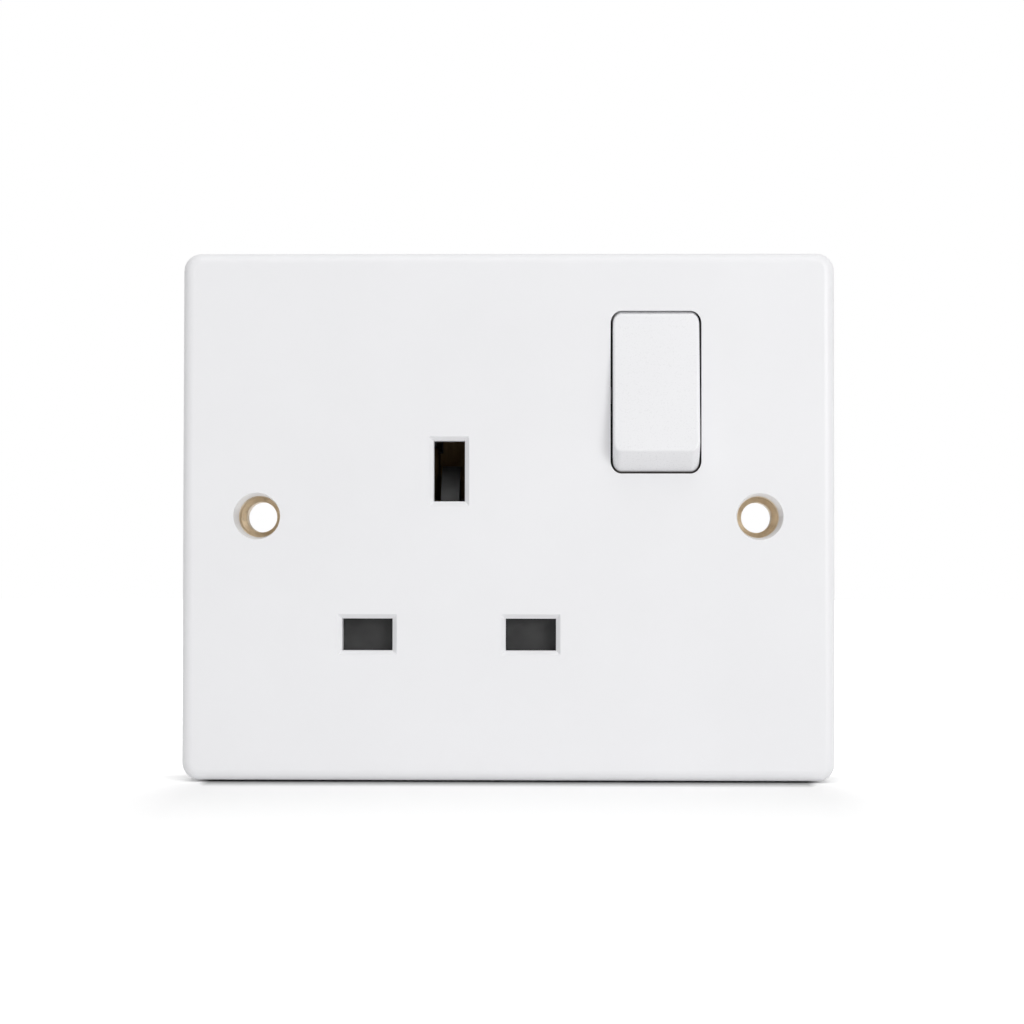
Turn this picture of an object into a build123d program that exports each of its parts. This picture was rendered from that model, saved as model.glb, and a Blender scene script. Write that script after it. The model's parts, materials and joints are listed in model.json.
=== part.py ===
from build123d import *
import os
from math import cos, radians, sin, sqrt

# A single switched wall socket with its back on the wall plane y = 0.
# X runs to the right, Y into the wall and Z up. The origin lies midway between the two fixing holes.
# The switch is off: the rocker's upper end lies flush and its lower end stands out.

# Clearances
fit_gap = 0.05  # round fits and pieces that slide on each other
seat_gap = 0.2  # pieces dropped into a pocket
moving_gap = 0.3  # around the pieces that move
bite = 0.5  # how far a rib or post is rooted in the wall that carries it

# Front plate
plate_width = 89.1
plate_height = 72.1
plate_projection = 9.5
plate_corner_r = 2.5
plate_edge_r = 1.5
plate_draft = 1.0  # degrees
face_wall = 3.0
rim_wall = 2.2
tray_corner_r = 1.5
rib_wall = 1.4

# Pin slots and the plug pins that they take
socket_x = -8.0
earth_z = 6.15
pin_pitch = 22.23
pin_thickness = 4.0
earth_pin_width = 7.95
earth_pin_length = 22.7
earth_slot_width = 4.25
earth_slot_height = 8.25
line_slot_width = 6.85
line_slot_height = 4.35
slot_chamfer = 0.6

# Fixing holes and their bushes
fixing_spacing = 68.4
fixing_mouth_r = 3.2
fixing_throat_r = 2.85
bush_depth = 3.6  # from the plate's face to the bush
bush_mouth_r = 2.8
bush_bore_r = 2.1
bush_dish = 2.9  # from the bush's front to the foot of its 45 degree screw seat
bush_outer_r = 3.4
bush_flange_r = 4.4
bush_flange = 0.6
boss_wall = 1.6

# Rocker
rocker_x = 20.1
rocker_z = 16.9
aperture_width = 12.35
aperture_height = 22.15
aperture_corner_r = 1.5
pivot_depth = 6.5  # from the plate's face to the rocker's axis
rocker_crown = 1.64  # how far the rocker's face stands proud at mid travel
rocker_half_travel = 8.6  # degrees
rocker_edge_r = 0.4
rocker_gap = 0.36  # from the rocker's curved ends to the plate
rocker_wall = 1.6
skirt_gap = 1.0  # from the skirt's edge to the axis
trunnion_r = 1.2
trunnion_length = 1.3
cheek_wall = 1.5
cheek_half = 3.4
ear_half = 2.6
swing_room = 1.8  # behind the trunnions

# Plunger in the rocker's stem
stem_r = 2.6
stem_reach = 5.2
plunger_r = 1.5
plunger_length = 6.9
plunger_tip_r = 1.2
plunger_reach = 8.5  # from the rocker's axis to the plunger's tip
plunger_spring_length = 5.4
plunger_spring_wire_r = 0.22
plunger_spring_turns = 7

# Switch contacts
seesaw_wall = 1.2
seesaw_width = 5.0
seesaw_half = 9.6
contact_inset = 1.7  # from the see-saw's end to its contact
contact_r = 1.6
contact_height = 0.8
rivet_r = 0.8
saddle_nose_r = 0.6
seesaw_corner_r = 0.8
contact_rim_r = 0.4

# Pressed strips and clips
strip_wall = 0.8
strip_width = 5.0
clip_width = 5.8
earth_clip_width = 7.0
clip_mouth_half = 3.1
clip_base_half = 3.0
clip_pinch = 0.15  # how far each leaf presses into a pin's place
clip_pinch_depth = 2.6
clip_pinch_r = 2.0
clip_base_r = 0.9
clip_mouth_depth = 1.4  # behind the housing's front
pin_tip_gap = 0.4
strap_width = 3.2
strap_gap = 1.0  # from the shutter's ramp to the strap
strap_joggle = 1.4

# Shutter and its spring
shutter_wall = 2.2
shutter_travel = 5.4
shutter_spare = 0.4  # how far the shutter clears the pins
shutter_stem_width = 8.0
shutter_lap = 0.7  # how far the blades lap the slots
ramp_width = 2.5
ramp_depth = 5.4
ramp_foot = 3.6
ramp_bulge = 0.8  # how far the ramp's face rises above a straight slope
spring_outer_r = 1.4
spring_wire_r = 0.25
spring_solid = 4.0  # room for the pressed spring
spring_turns = 6
peg_r = 0.7
peg_length = 1.4

# Terminals
terminal_size = 8.0
terminal_pitch = 11.0
earth_terminal_x = -6.6
wire_bore_r = 2.2
wire_floor = 1.5
terminal_screw_r = 1.75
terminal_head_r = 2.9
terminal_head = 1.9
terminal_travel = 3.0
screw_slot = 0.9
screw_slot_depth = 1.0
terminal_head_edge_r = 0.5
terminal_edge = 0.25
tenon_r = 1.0
tab_inset = 1.0

# Rear housing and its screws
housing_corner_r = 3.0
housing_edge = 0.8
top_wall = 2.0
pocket_wall = 1.5
rear_wall = 2.0
lead_in = 0.8  # funnel at the wire ways and screw wells
post_r = 3.0
post_back = 3.0
post_inset = 4.2  # from the housing's side
lug_wall = 2.0
lug_half = 3.6
housing_screw_r = 1.45
housing_head_r = 2.6
housing_head = 1.7
housing_head_edge_r = 0.85
housing_screw_bite = 6.0
drive_width = 0.7
drive_arm = 1.6
drive_depth = 1.0

# Depths, from the plate's face to the housing's back
front_y = -plate_projection
face_back = front_y + face_wall
shutter_front = face_back + seat_gap
shutter_back = shutter_front + shutter_wall
housing_front = shutter_back + seat_gap
bush_front = front_y + bush_depth
boss_back = -bush_flange - strip_wall
pivot_y = front_y + pivot_depth
rocker_floor = pivot_y + trunnion_r + swing_room
ramp_back = shutter_front + ramp_depth
strap_front = ramp_back + strap_gap
strap_back = strap_front + strip_wall
tilt = radians(rocker_half_travel)
contact_arm = seesaw_half - contact_inset
seesaw_y = pivot_y + plunger_reach + fit_gap + seesaw_wall
closed_y = seesaw_y + (contact_arm + contact_r) * sin(tilt) + contact_height * cos(tilt)
fixed_tip_front = closed_y + fit_gap
strip_front = fixed_tip_front + contact_height
strip_back = strip_front + strip_wall
earth_base = front_y + earth_pin_length + pin_tip_gap
earth_base_back = earth_base + strip_wall
housing_back = earth_base_back + seat_gap + rear_wall
terminal_back = housing_back - terminal_head - terminal_travel - 2 * seat_gap
terminal_front = terminal_back - terminal_size
terminal_y = (terminal_front + terminal_back) / 2
clip_mouth_y = housing_front + clip_mouth_depth

# Heights and widths
fixing_x = fixing_spacing / 2
boss_r = bush_outer_r + boss_wall
line_x = socket_x + pin_pitch / 2
neutral_x = socket_x - pin_pitch / 2
line_z = earth_z - pin_pitch
aperture_r = sqrt((aperture_height / 2) ** 2 + pivot_depth**2)
rocker_r = aperture_r - rocker_gap
rocker_width = aperture_width - 2 * moving_gap
rocker_face = pivot_depth + rocker_crown
rocker_half = sqrt(rocker_r**2 - rocker_face**2)
cheek_inner = aperture_width / 2
cheek_outer = cheek_inner + cheek_wall
strap_step = fixing_x - bush_flange_r - strip_wall / 2 - strap_joggle
housing_half = strap_step - seat_gap
housing_top = rocker_z + aperture_r + pocket_wall
terminal_top = housing_top - top_wall - seat_gap
terminal_base = terminal_top - terminal_size
terminal_z = (terminal_base + terminal_top) / 2
neutral_terminal_x = earth_terminal_x - terminal_pitch
line_terminal_x = earth_terminal_x + terminal_pitch
blade_top = line_z + line_slot_height / 2 + shutter_lap
blade_bottom = line_z - line_slot_height / 2 - shutter_lap
blade_left = neutral_x - line_slot_width / 2 - shutter_lap
blade_right = line_x + line_slot_width / 2 + shutter_lap
ramp_base = earth_z - earth_pin_width / 2 - seat_gap
ramp_top = ramp_base + seat_gap + shutter_travel - shutter_spare
spring_stop = blade_bottom - shutter_travel - spring_solid
spring_y = face_back + spring_outer_r + moving_gap
housing_bottom = spring_stop - rib_wall
post_x = housing_half - post_inset
posts = [
    (-post_x, (earth_z + terminal_base) / 2),
    (-post_x, -strap_width / 2 - post_r - moving_gap - pocket_wall),
    (post_x, -strap_width / 2 - post_r - moving_gap - pocket_wall),
    ((line_x + housing_half) / 2, housing_bottom + post_inset),
]


def bar(x, y, z):
    """A box from its two limits along each axis."""
    size = Box(x[1] - x[0], y[1] - y[0], z[1] - z[0])
    return Pos((x[0] + x[1]) / 2, (y[0] + y[1]) / 2, (z[0] + z[1]) / 2) * size


def around(centre, half):
    return (centre - half, centre + half)


def rod_x(y, z, radius, x):
    return Pos((x[0] + x[1]) / 2, y, z) * Rot(0, 90, 0) * Cylinder(radius, x[1] - x[0])


def rod_y(x, z, radius, y):
    return Pos(x, (y[0] + y[1]) / 2, z) * Rot(-90, 0, 0) * Cylinder(radius, y[1] - y[0])


def rod_z(x, y, radius, z):
    return Pos(x, y, (z[0] + z[1]) / 2) * Cylinder(radius, z[1] - z[0])


def cone_y(x, z, radius_low, radius_high, y):
    return Pos(x, (y[0] + y[1]) / 2, z) * Rot(-90, 0, 0) * Cone(radius_low, radius_high, y[1] - y[0])


def rounded_bar(x, y, z, corner_r):
    """A box with its four edges along Y rounded."""
    centre = Pos((x[0] + x[1]) / 2, y[1], (z[0] + z[1]) / 2)
    return centre * extrude(Plane.XZ * RectangleRounded(x[1] - x[0], z[1] - z[0], corner_r), y[1] - y[0])


def ribbon(points, width, y):
    """A flat strip along a line of (x, z) points, with round corners and ends."""
    strip = Part()
    for x, z in points:
        strip += rod_y(x, z, width / 2, y)
    for (x0, z0), (x1, z1) in zip(points, points[1:]):
        run = Vector(x1 - x0, 0, z1 - z0)
        middle = Plane(((x0 + x1) / 2, (y[0] + y[1]) / 2, (z0 + z1) / 2), run, (0, 1, 0))
        strip += middle * Box(run.length, width, y[1] - y[0])
    return strip


def at_rocker(part):
    """Places what was made about the rocker's axis at mid travel, turned to off."""
    return Pos(rocker_x, pivot_y, rocker_z) * Rot(-rocker_half_travel, 0, 0) * part


def at_seesaw(part):
    return Pos(rocker_x, seesaw_y, rocker_z) * Rot(rocker_half_travel, 0, 0) * part


def slot_cutter(x, z, width, height):
    mouth = Plane((x, front_y, z), (1, 0, 0), (0, 1, 0))
    rim = Rectangle(width + 2 * slot_chamfer, height + 2 * slot_chamfer)
    flare = extrude(mouth * rim, slot_chamfer, taper=45)
    return flare + bar(around(x, width / 2), (front_y, face_back), around(z, height / 2))


def make_front_plate():
    outline = Plane.XZ * RectangleRounded(plate_width, plate_height, plate_corner_r)
    plate = extrude(outline, plate_projection, taper=plate_draft)
    plate = fillet(plate.faces().sort_by(Axis.Y)[0].edges(), plate_edge_r)
    inner_x = plate_width / 2 - rim_wall
    inner_z = plate_height / 2 - rim_wall
    plate -= rounded_bar(around(0, inner_x), (face_back, 0), around(0, inner_z), tray_corner_r)
    rooted = face_back - bite

    # Locating ribs above and below the housing
    rib_x = around(0, housing_half)
    rib_y = (rooted, housing_front + rib_wall)
    over = housing_top + seat_gap
    under = housing_bottom - seat_gap
    plate += bar(rib_x, rib_y, (over, over + rib_wall))
    plate += bar(rib_x, rib_y, (under - rib_wall, under))

    # Bosses for the bushes, with a rib to the rim, and posts for the housing's screws
    for x in (-fixing_x, fixing_x):
        plate += rod_y(x, 0, boss_r, (rooted, boss_back))
        rim_x = inner_x + bite if x > 0 else -inner_x - bite
        plate += bar((min(x, rim_x), max(x, rim_x)), (rooted, boss_back), around(0, rib_wall / 2))
    for x, z in posts:
        plate += rod_y(x, z, post_r, (rooted, post_back))
        pilot = (post_back - housing_screw_bite - seat_gap, post_back)
        plate -= rod_y(x, z, housing_screw_r + fit_gap, pilot)

    # Ribs that hold the terminals in their pockets
    for x in (neutral_terminal_x, earth_terminal_x, line_terminal_x):
        hold = around(terminal_z, terminal_size / 2 - tab_inset)
        plate += bar(around(x, rib_wall / 2), (rooted, terminal_front - fit_gap), hold)

    # Guides and stops for the shutter, and the seat of its spring
    guide = shutter_stem_width / 2 + seat_gap
    stop_inner = earth_slot_width / 2 + slot_chamfer
    for side in (-1, 1):
        guide_x = sorted((socket_x + side * guide, socket_x + side * (guide + rib_wall)))
        plate += bar(guide_x, (rooted, shutter_back), (blade_top + moving_gap, ramp_base))
        stop_x = sorted((socket_x + side * stop_inner, socket_x + side * (guide + rib_wall)))
        plate += bar(stop_x, (rooted, shutter_back), (ramp_base + fit_gap, ramp_base + fit_gap + rib_wall))
    seat_x = around(socket_x, spring_outer_r + rib_wall)
    plate += bar(seat_x, (rooted, shutter_back), (spring_stop - rib_wall, spring_stop))
    plate += rod_z(socket_x, spring_y, peg_r, (spring_stop - rib_wall, spring_stop + peg_length))

    # Cheeks beside the rocker, with an open bearing for each trunnion
    plate -= rocker_space(aperture_r, aperture_width, aperture_corner_r)
    bearing_back = pivot_y + trunnion_r
    for side in (-1, 1):
        cheek_x = sorted((rocker_x + side * cheek_inner, rocker_x + side * cheek_outer))
        bearing_r = trunnion_r + fit_gap
        cheek = bar(cheek_x, (rooted, bearing_back), around(rocker_z, cheek_half))
        cheek -= rod_x(pivot_y, rocker_z, bearing_r, cheek_x)
        cheek -= bar(cheek_x, (pivot_y, bearing_back), around(rocker_z, bearing_r))
        plate += cheek

    # Pin slots and fixing holes
    plate -= slot_cutter(socket_x, earth_z, earth_slot_width, earth_slot_height)
    plate -= slot_cutter(line_x, line_z, line_slot_width, line_slot_height)
    plate -= slot_cutter(neutral_x, line_z, line_slot_width, line_slot_height)
    for x in (-fixing_x, fixing_x):
        plate -= cone_y(x, 0, fixing_mouth_r, fixing_throat_r, (front_y, bush_front))
        plate -= rod_y(x, 0, bush_outer_r + fit_gap, (bush_front, boss_back))
        plate -= rod_y(x, 0, bush_flange_r + seat_gap, (boss_back, 0))
    return plate


def rocker_space(radius, width, corner_r):
    """A round of the rocker's form about its axis, at its place in the plate."""
    drum = rod_x(0, 0, radius, around(0, width / 2))
    drum = fillet(drum.edges().filter_by(GeomType.CIRCLE), corner_r)
    return Pos(rocker_x, pivot_y, rocker_z) * drum


def make_rocker():
    half = rocker_width / 2
    inner = half - rocker_wall
    drum = rod_x(0, 0, rocker_r, around(0, half))
    drum = fillet(drum.edges().filter_by(GeomType.CIRCLE), aperture_corner_r - moving_gap)
    body = drum & bar(around(0, half), (-rocker_face, -skirt_gap), around(0, rocker_r))
    body = fillet(body.faces().sort_by(Axis.Y)[0].edges(), rocker_edge_r)
    face_inside = -rocker_face + rocker_wall
    body -= bar(around(0, inner), (face_inside, -skirt_gap), around(0, rocker_half - rocker_wall))
    for side in (-1, 1):
        ear_x = sorted((side * inner, side * half))
        stub_x = sorted((side * inner, side * (half + trunnion_length)))
        body += bar(ear_x, (-skirt_gap - bite, trunnion_r), around(0, ear_half))
        body += rod_x(0, 0, trunnion_r, stub_x)
    body += rod_y(0, 0, stem_r, (face_inside - bite, stem_reach))
    bore = (plunger_reach - plunger_length - plunger_spring_length, stem_reach)
    body -= rod_y(0, 0, plunger_r + fit_gap, bore)
    return at_rocker(body)


def make_plunger():
    back = plunger_reach - plunger_length
    nose = plunger_reach - plunger_tip_r
    shoulder = stem_reach + plunger_tip_r
    plunger = rod_y(0, 0, plunger_r, (back, shoulder))
    plunger += rod_y(0, 0, plunger_tip_r, (shoulder, nose))
    plunger += Pos(0, nose, 0) * Sphere(plunger_tip_r)
    return at_rocker(plunger)


def coil(outer_r, wire_r, length, turns):
    """A round wire spring along Z from z = 0."""
    rise = length - 2 * wire_r
    path = Helix(rise / turns, rise, outer_r - wire_r)
    return Pos(0, 0, wire_r) * sweep((path ^ 0) * Circle(wire_r), path=path, is_frenet=True)


def make_plunger_spring():
    length = plunger_spring_length - 2 * fit_gap
    spring = coil(plunger_r - 2 * fit_gap, plunger_spring_wire_r, length, plunger_spring_turns)
    back = plunger_reach - plunger_length
    return at_rocker(Pos(0, back - fit_gap, 0) * Rot(90, 0, 0) * spring)


def make_shutter_spring():
    length = blade_bottom - spring_stop - 2 * fit_gap
    spring = coil(spring_outer_r, spring_wire_r, length, spring_turns)
    return Pos(socket_x, spring_y, spring_stop + fit_gap) * spring


def make_shutter():
    depth = (shutter_front, shutter_back)
    shutter = bar((blade_left, blade_right), depth, (blade_bottom, blade_top))
    shutter += bar(around(socket_x, shutter_stem_width / 2), depth, (blade_bottom, ramp_base))
    side = Plane((socket_x, 0, 0), (0, 1, 0), (1, 0, 0))
    low = Vector(shutter_front, ramp_base)
    high = Vector(ramp_back, ramp_top)
    crest = (low + high) / 2 + (high - low).normalized().rotate(Axis.Z, 90) * ramp_bulge
    foot = ramp_base - ramp_foot
    wedge = ThreePointArc(low, crest, high)
    wedge += Polyline(high, (ramp_back, foot), (shutter_front, foot), low)
    shutter += extrude(side * make_face(wedge), ramp_width / 2, both=True)
    shutter += rod_z(socket_x, spring_y, peg_r, (blade_bottom - peg_length, blade_bottom + bite))
    return shutter


def clip_profile(base_y):
    """The bent section of a pin clip: two leaves that pinch a pin, joined behind its tip."""
    half_wall = strip_wall / 2
    pinch = pin_thickness / 2 - clip_pinch + half_wall
    base = base_y + half_wall
    pinch_y = clip_mouth_y + clip_pinch_depth
    leaf = [(clip_mouth_half, clip_mouth_y), (pinch, pinch_y), (clip_base_half, base)]
    mirrored = [(-s, d) for s, d in reversed(leaf)]
    bends = [clip_pinch_r, clip_base_r, clip_base_r, clip_pinch_r]
    return trace(FilletPolyline(*leaf, *mirrored, radius=bends), strip_wall)


def line_clip(x):
    across = Plane((x, 0, line_z), (0, 0, 1), (-1, 0, 0))
    return extrude(across * clip_profile(strip_front), clip_width / 2, both=True)


def make_neutral_contact():
    lead = terminal_base - strip_wall
    strip_x = around(neutral_terminal_x, strip_width / 2)
    contact = line_clip(neutral_x)
    contact += bar(strip_x, (strip_front, strip_back), (line_z, terminal_base))
    contact += bar(strip_x, (terminal_front + tab_inset, strip_back), (lead, terminal_base))
    return contact - tenon_hole(neutral_terminal_x)


def make_earth_contact():
    profile = Pos(socket_x, 0, earth_z) * clip_profile(earth_base)
    contact = extrude(profile, earth_clip_width / 2, both=True)
    lead = terminal_base - strip_wall
    strip_x = around((socket_x + earth_terminal_x) / 2, strip_width / 2)
    contact += bar(strip_x, (earth_base, earth_base_back), (earth_z, terminal_base))
    contact += bar(strip_x, (terminal_front + tab_inset, earth_base_back), (lead, terminal_base))

    # One leaf reaches down to stand on the earth strap
    reach = earth_z + strap_width / 2
    foot = extrude(Pos(socket_x, 0, earth_z) * clip_profile(earth_base), -reach)
    side = (socket_x - 2 * clip_mouth_half, socket_x)
    foot &= bar(side, (strap_back, strap_back + strip_width), (earth_z - reach, earth_z))
    contact += foot
    return contact - tenon_hole(earth_terminal_x)


def make_line_contact():
    flat = (strip_front, strip_back)
    contact = line_clip(line_x)
    contact += ribbon(line_route(), strip_width, flat)
    post = around(rocker_z, saddle_nose_r)
    contact += bar(around(rocker_x, seesaw_width / 2), (seesaw_y, strip_back), post)
    contact += rod_x(seesaw_y, rocker_z, saddle_nose_r, around(rocker_x, seesaw_width / 2))
    return contact


def line_route():
    """From the switch's saddle to the line clip."""
    bend = rocker_z - seesaw_half
    return [(rocker_x, rocker_z), (rocker_x, bend), (line_x, line_z + seesaw_half), (line_x, line_z)]


def make_fixed_contact():
    flat = (strip_front, strip_back)
    side = line_terminal_x + terminal_size / 2
    level = rocker_z + contact_arm
    contact = ribbon([(rocker_x, level), (side + strip_width / 2, level)], strip_width, flat)
    tab_z = around(level, strip_width / 2)
    contact += bar((side, side + strip_width / 2), flat, tab_z)
    contact += bar((side, side + strip_wall), (terminal_front + tab_inset, strip_back), tab_z)
    contact -= rod_y(rocker_x, level, rivet_r + fit_gap, flat)
    return contact - rod_x(terminal_y, level, tenon_r + fit_gap, (side, side + strip_wall))


def tenon_hole(x):
    return rod_z(x, terminal_y, tenon_r + fit_gap, (terminal_base - strip_wall, terminal_base))


def contact_tip():
    """A silver rivet: a button with a rounded rim, and a shank through its strip."""
    button = rod_y(0, 0, contact_r, (0, contact_height))
    rim = button.faces().sort_by(Axis.Y)[-1].edges()
    return fillet(rim, contact_rim_r)


def make_seesaw_contact():
    plate = bar(around(0, seesaw_width / 2), (-seesaw_wall, 0), around(0, seesaw_half))
    plate = fillet(plate.edges().filter_by(Axis.Y), seesaw_corner_r)
    plate -= rod_x(0, 0, saddle_nose_r + fit_gap, around(0, seesaw_width / 2))
    plate -= rod_y(0, contact_arm, rivet_r + fit_gap, (-seesaw_wall, 0))
    return at_seesaw(plate)


def make_seesaw_contact_tip():
    tip = contact_tip() + rod_y(0, 0, rivet_r, (-seesaw_wall, 0))
    return at_seesaw(Pos(0, 0, contact_arm) * tip)


def make_fixed_contact_tip():
    tip = Rot(180, 0, 0) * contact_tip() + rod_y(0, 0, rivet_r, (0, strip_wall))
    return Pos(rocker_x, strip_front, rocker_z + contact_arm) * tip


def make_terminal(x, tenon_side):
    """A pillar terminal: wire bore from above, screw from behind, tenon for its strip."""
    half = terminal_size / 2
    block = bar(around(x, half), (terminal_front, terminal_back), (terminal_base, terminal_top))
    block = chamfer(block.edges(), terminal_edge)
    block -= rod_z(x, terminal_y, wire_bore_r, (terminal_base + wire_floor, terminal_top))
    block -= rod_y(x, terminal_z, terminal_screw_r + fit_gap, (terminal_y, terminal_back))
    if tenon_side:
        tenon_x = (x + half - bite, x + half + strip_wall)
        return block + rod_x(terminal_y, rocker_z + contact_arm, tenon_r, tenon_x)
    return block + rod_z(x, terminal_y, tenon_r, (terminal_base - strip_wall, terminal_base + bite))


def make_terminal_screw(x):
    """Backed out, with its tip just clear of the wire bore."""
    head_front = terminal_back + terminal_travel + seat_gap
    head_back = head_front + terminal_head
    tip = terminal_y + wire_bore_r + fit_gap
    screw = rod_y(x, terminal_z, terminal_head_r, (head_front, head_back))
    screw = fillet(screw.faces().sort_by(Axis.Y)[-1].edges(), terminal_head_edge_r)
    screw += rod_y(x, terminal_z, terminal_screw_r, (tip, head_front))
    slot_y = (head_back - screw_slot_depth, head_back)
    return screw - bar(around(x, terminal_head_r), slot_y, around(terminal_z, screw_slot / 2))


def make_bush(x):
    bush = rod_y(x, 0, bush_outer_r, (bush_front, 0))
    bush += rod_y(x, 0, bush_flange_r, (-bush_flange, 0))
    seat = bush_front + bush_dish
    rim = seat - (bush_mouth_r - bush_bore_r)
    bush -= rod_y(x, 0, bush_mouth_r, (bush_front, rim))
    bush -= cone_y(x, 0, bush_mouth_r, bush_bore_r, (rim, seat))
    return bush - rod_y(x, 0, bush_bore_r, (bush_front, 0))


def make_earth_strap():
    half_wall = strip_wall / 2
    run_y = strap_front + half_wall
    eye_y = boss_back + half_wall
    right = [(strap_step, run_y), (strap_step + strap_joggle, eye_y), (fixing_x, eye_y)]
    left = [(-x, y) for x, y in reversed(right)]
    profile = trace(FilletPolyline(*left, *right, radius=strip_wall), strip_wall)
    strap = extrude(profile, strap_width / 2, both=True)
    for x in (-fixing_x, fixing_x):
        strap += rod_y(x, 0, bush_flange_r, (boss_back, -bush_flange))
        strap -= rod_y(x, 0, bush_outer_r + fit_gap, (boss_back, -bush_flange))
    return strap


def make_housing_screw(x, z):
    seat = post_back + lug_wall
    screw = rod_y(x, z, housing_head_r, (seat, seat + housing_head))
    screw = fillet(screw.faces().sort_by(Axis.Y)[-1].edges(), housing_head_edge_r)
    screw += rod_y(x, z, housing_screw_r, (post_back - housing_screw_bite + housing_screw_r, seat))
    tip = (post_back - housing_screw_bite, post_back - housing_screw_bite + housing_screw_r)
    screw += cone_y(x, z, housing_screw_r / 4, housing_screw_r, tip)
    drive_y = (seat + housing_head - drive_depth, seat + housing_head)
    screw -= bar(around(x, drive_arm), drive_y, around(z, drive_width / 2))
    screw -= bar(around(x, drive_width / 2), drive_y, around(z, drive_arm))
    return screw


def make_housing_screws():
    return Compound([make_housing_screw(x, z).solid() for x, z in posts])


def terminal_pockets():
    """Room for the terminals with their strips, the wire ways above and the screw wells behind."""
    pockets = Part()
    half = terminal_size / 2 + seat_gap
    for x in (neutral_terminal_x, earth_terminal_x, line_terminal_x):
        right = half + strip_wall if x == line_terminal_x else half
        tall = (terminal_base - strip_wall - seat_gap, terminal_top + seat_gap)
        pockets += bar((x - half, x + right), (housing_front, terminal_back), tall)
        way_r = wire_bore_r + moving_gap
        well_r = terminal_head_r + moving_gap
        funnel = Pos(x, terminal_y, housing_top - lead_in / 2) * Cone(way_r, way_r + lead_in, lead_in)
        pockets += rod_z(x, terminal_y, way_r, (terminal_top, housing_top)) + funnel
        pockets += rod_y(x, terminal_z, well_r, (terminal_back, housing_back))
        pockets += cone_y(x, terminal_z, well_r, well_r + lead_in, (housing_back - lead_in, housing_back))
    return pockets


def contact_pockets():
    """Room for the three clips and their strips, all open to the front."""
    clip_half = clip_mouth_half + strip_wall + moving_gap
    strip_half = strip_width / 2 + seat_gap
    floor = strip_back + fit_gap
    earth_floor = earth_base_back + fit_gap
    pockets = Part()
    for x in (neutral_x, line_x):
        wide = around(x, clip_width / 2 + seat_gap)
        pockets += bar(wide, (housing_front, floor), around(line_z, clip_half))
    lead = around(neutral_terminal_x, strip_half)
    pockets += bar(lead, (housing_front, floor), (line_z, terminal_base))
    clip_z = around(earth_z, earth_clip_width / 2 + seat_gap)
    pockets += bar(around(socket_x, clip_half), (housing_front, earth_floor), clip_z)
    foot_y = (housing_front, strap_back + strip_width + seat_gap)
    pockets += bar((socket_x - clip_half, socket_x), foot_y, (-strap_width / 2 - seat_gap, earth_z))
    earth_lead = around((socket_x + earth_terminal_x) / 2, strip_half)
    pockets += bar(earth_lead, (housing_front, earth_floor), (earth_z, terminal_base))
    pockets += ribbon(line_route(), 2 * strip_half, (housing_front, floor))
    return pockets


def switch_pockets():
    """Room for the rocker, its cheeks, the see-saw and the fixed contact's strip."""
    level = rocker_z + contact_arm
    strip_half = strip_width / 2 + seat_gap
    swing = around(rocker_z, rocker_r + moving_gap)
    pockets = bar(around(rocker_x, aperture_width / 2), (housing_front, rocker_floor), swing)
    bearing_back = pivot_y + trunnion_r + 2 * fit_gap
    cheeks_x = (rocker_x - cheek_outer - seat_gap, housing_half)
    pockets += bar(cheeks_x, (housing_front, bearing_back), around(rocker_z, cheek_half + seat_gap))
    well_x = around(rocker_x, max(seesaw_width / 2, stem_r) + moving_gap)
    pockets += bar(well_x, (rocker_floor, strip_front), around(rocker_z, seesaw_half + moving_gap))
    side = line_terminal_x + terminal_size / 2
    lead = (side, rocker_x + strip_half)
    pockets += bar(lead, (rocker_floor, strip_back + fit_gap), around(level, strip_half))
    pockets += bar((side, rocker_x), (housing_front, rocker_floor), around(level, strip_half))
    return pockets


def earth_pockets():
    """Room for the strap across the housing, and for the shutter's ramp and spring."""
    slot = around(0, strap_width / 2 + seat_gap)
    pockets = bar(around(0, housing_half), (housing_front, strap_back + fit_gap), slot)
    ramp_x = around(socket_x, ramp_width / 2 + moving_gap)
    ramp_low = ramp_base - ramp_foot - shutter_travel - moving_gap
    pockets += bar(ramp_x, (housing_front, ramp_back + moving_gap), (ramp_low, ramp_top + moving_gap))
    trough_y = (housing_front, spring_y + spring_outer_r + moving_gap)
    trough_x = around(socket_x, spring_outer_r + moving_gap)
    pockets += bar(trough_x, trough_y, (housing_bottom, blade_bottom + bite))
    return pockets


def lug_recesses():
    """Bores for the plate's posts and, behind each lug, an open recess for a screw's head."""
    cuts = Part()
    lug_back = post_back + lug_wall
    for x, z in posts:
        cuts += rod_y(x, z, post_r + seat_gap, (housing_front, post_back))
        cuts += rod_y(x, z, housing_screw_r + seat_gap, (post_back, lug_back))
        recess_x = around(x, lug_half)
        recess_z = around(z, lug_half)
        if x < -housing_half / 2:
            recess_x = (-housing_half, x + lug_half)
        elif z > housing_bottom / 2:
            recess_x = (x - lug_half, housing_half)
        else:
            recess_z = (housing_bottom, z + lug_half)
        cuts += bar(recess_x, (lug_back, housing_back), recess_z)
    return cuts


def core_cells(x, z, count):
    """A row of hollows from behind with ribs between them."""
    depth = (post_back + lug_wall, housing_back)
    cell = (x[1] - x[0] - (count - 1) * rib_wall) / count
    cells = Part()
    for i in range(count):
        start = x[0] + i * (cell + rib_wall)
        cells += rounded_bar((start, start + cell), depth, z, tray_corner_r)
    return cells


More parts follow.
